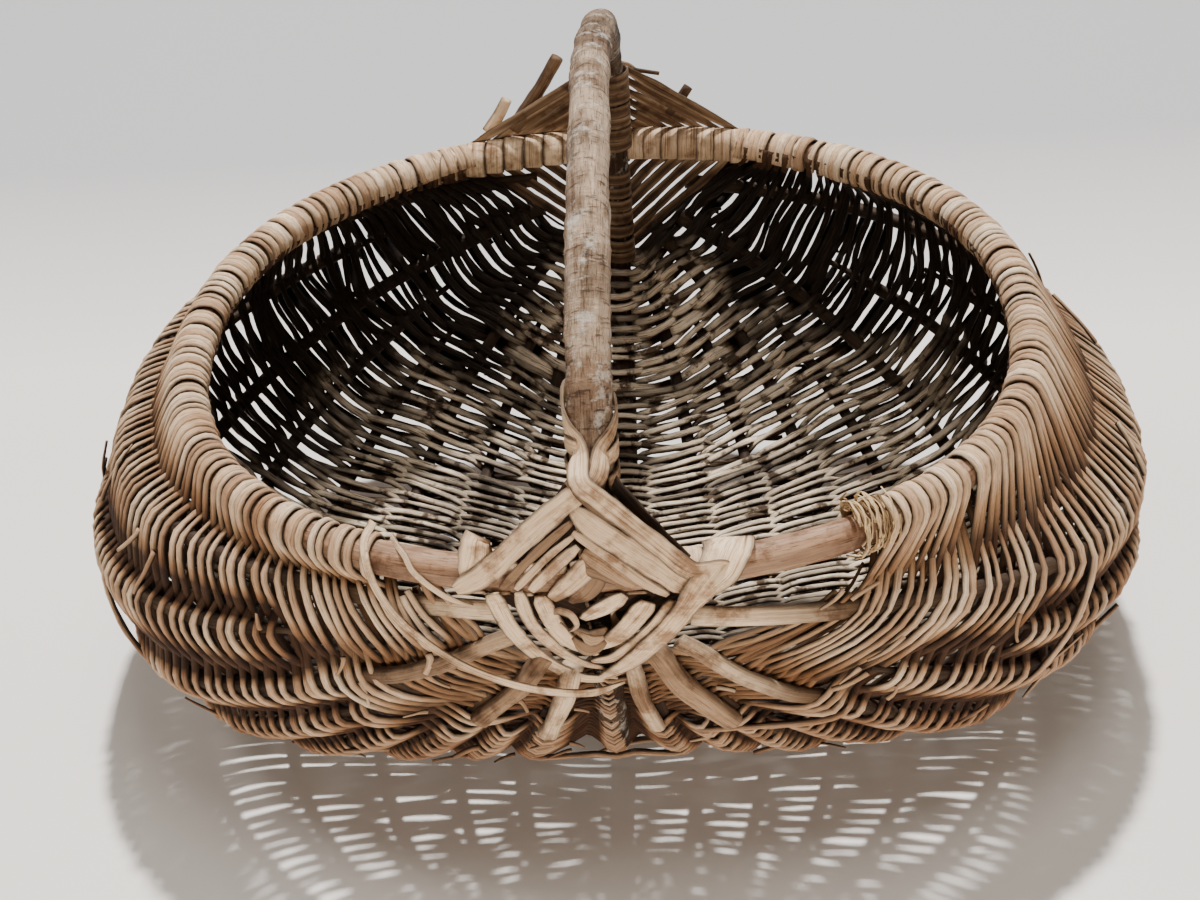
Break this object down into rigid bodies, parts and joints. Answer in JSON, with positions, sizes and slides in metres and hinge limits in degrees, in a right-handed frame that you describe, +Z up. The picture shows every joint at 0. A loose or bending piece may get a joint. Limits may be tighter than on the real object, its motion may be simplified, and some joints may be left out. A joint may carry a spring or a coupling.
{
  "type": "woven fruit basket",
  "caption": "Rib-type woven basket: round rim hoop, fixed bow handle that runs on as the keel, bulging double-lobed bowl, flat splint lashings at the crossings.",
  "frame": {"origin": "on the ground under the middle of the bowl, centre of the bounding box's bottom face", "axes": "+Z up; the fixed handle hoop stands in the YZ plane, with the front lashing towards -Y and the rear one towards +Y; X runs across the handle, left lobe at -X"},
  "size_m": [0.567, 0.4487, 0.3505],
  "materials": {
    "rim_rod": "thin reddish-brown bark, worn smooth",
    "handle_bark": "grey-tan bark, ringed and flaking, worn smoother over the top",
    "rib_rod": "peeled and whittled rods, dull and weathered",
    "splint": "flat cream splints with brown stains, dull",
    "weaver": "thin weathered willow, tan outside and blackened inside, dull",
    "straw": "dry frayed grass"
  },
  "bodies": {
    "root": {"rim_hoop": "rim_rod", "handle_hoop": "handle_bark", "rib_left_1": "rib_rod", "rib_left_2": "rib_rod", "rib_left_3": "rib_rod", "rib_left_4": "rib_rod", "rib_left_5": "rib_rod", "rib_left_6": "rib_rod", "rib_left_7": "rib_rod", "rib_left_8": "rib_rod", "rib_right_1": "rib_rod", "rib_right_2": "rib_rod", "rib_right_3": "rib_rod", "rib_right_4": "rib_rod", "rib_right_5": "rib_rod", "rib_right_6": "rib_rod", "rib_right_7": "rib_rod", "rib_right_8": "rib_rod", "front_eye_lashing": "splint", "rear_eye_lashing": "splint", "rim_wrapping_left": "weaver", "rim_wrapping_right": "weaver", "weave_front_left": "weaver", "weave_front_right": "weaver", "weave_middle_left": "weaver", "weave_middle_right": "weaver", "weave_rear_left": "weaver", "weave_rear_right": "weaver", "loose_splint": "splint", "straw_tuft": "straw"}
  },
  "joints": []
}
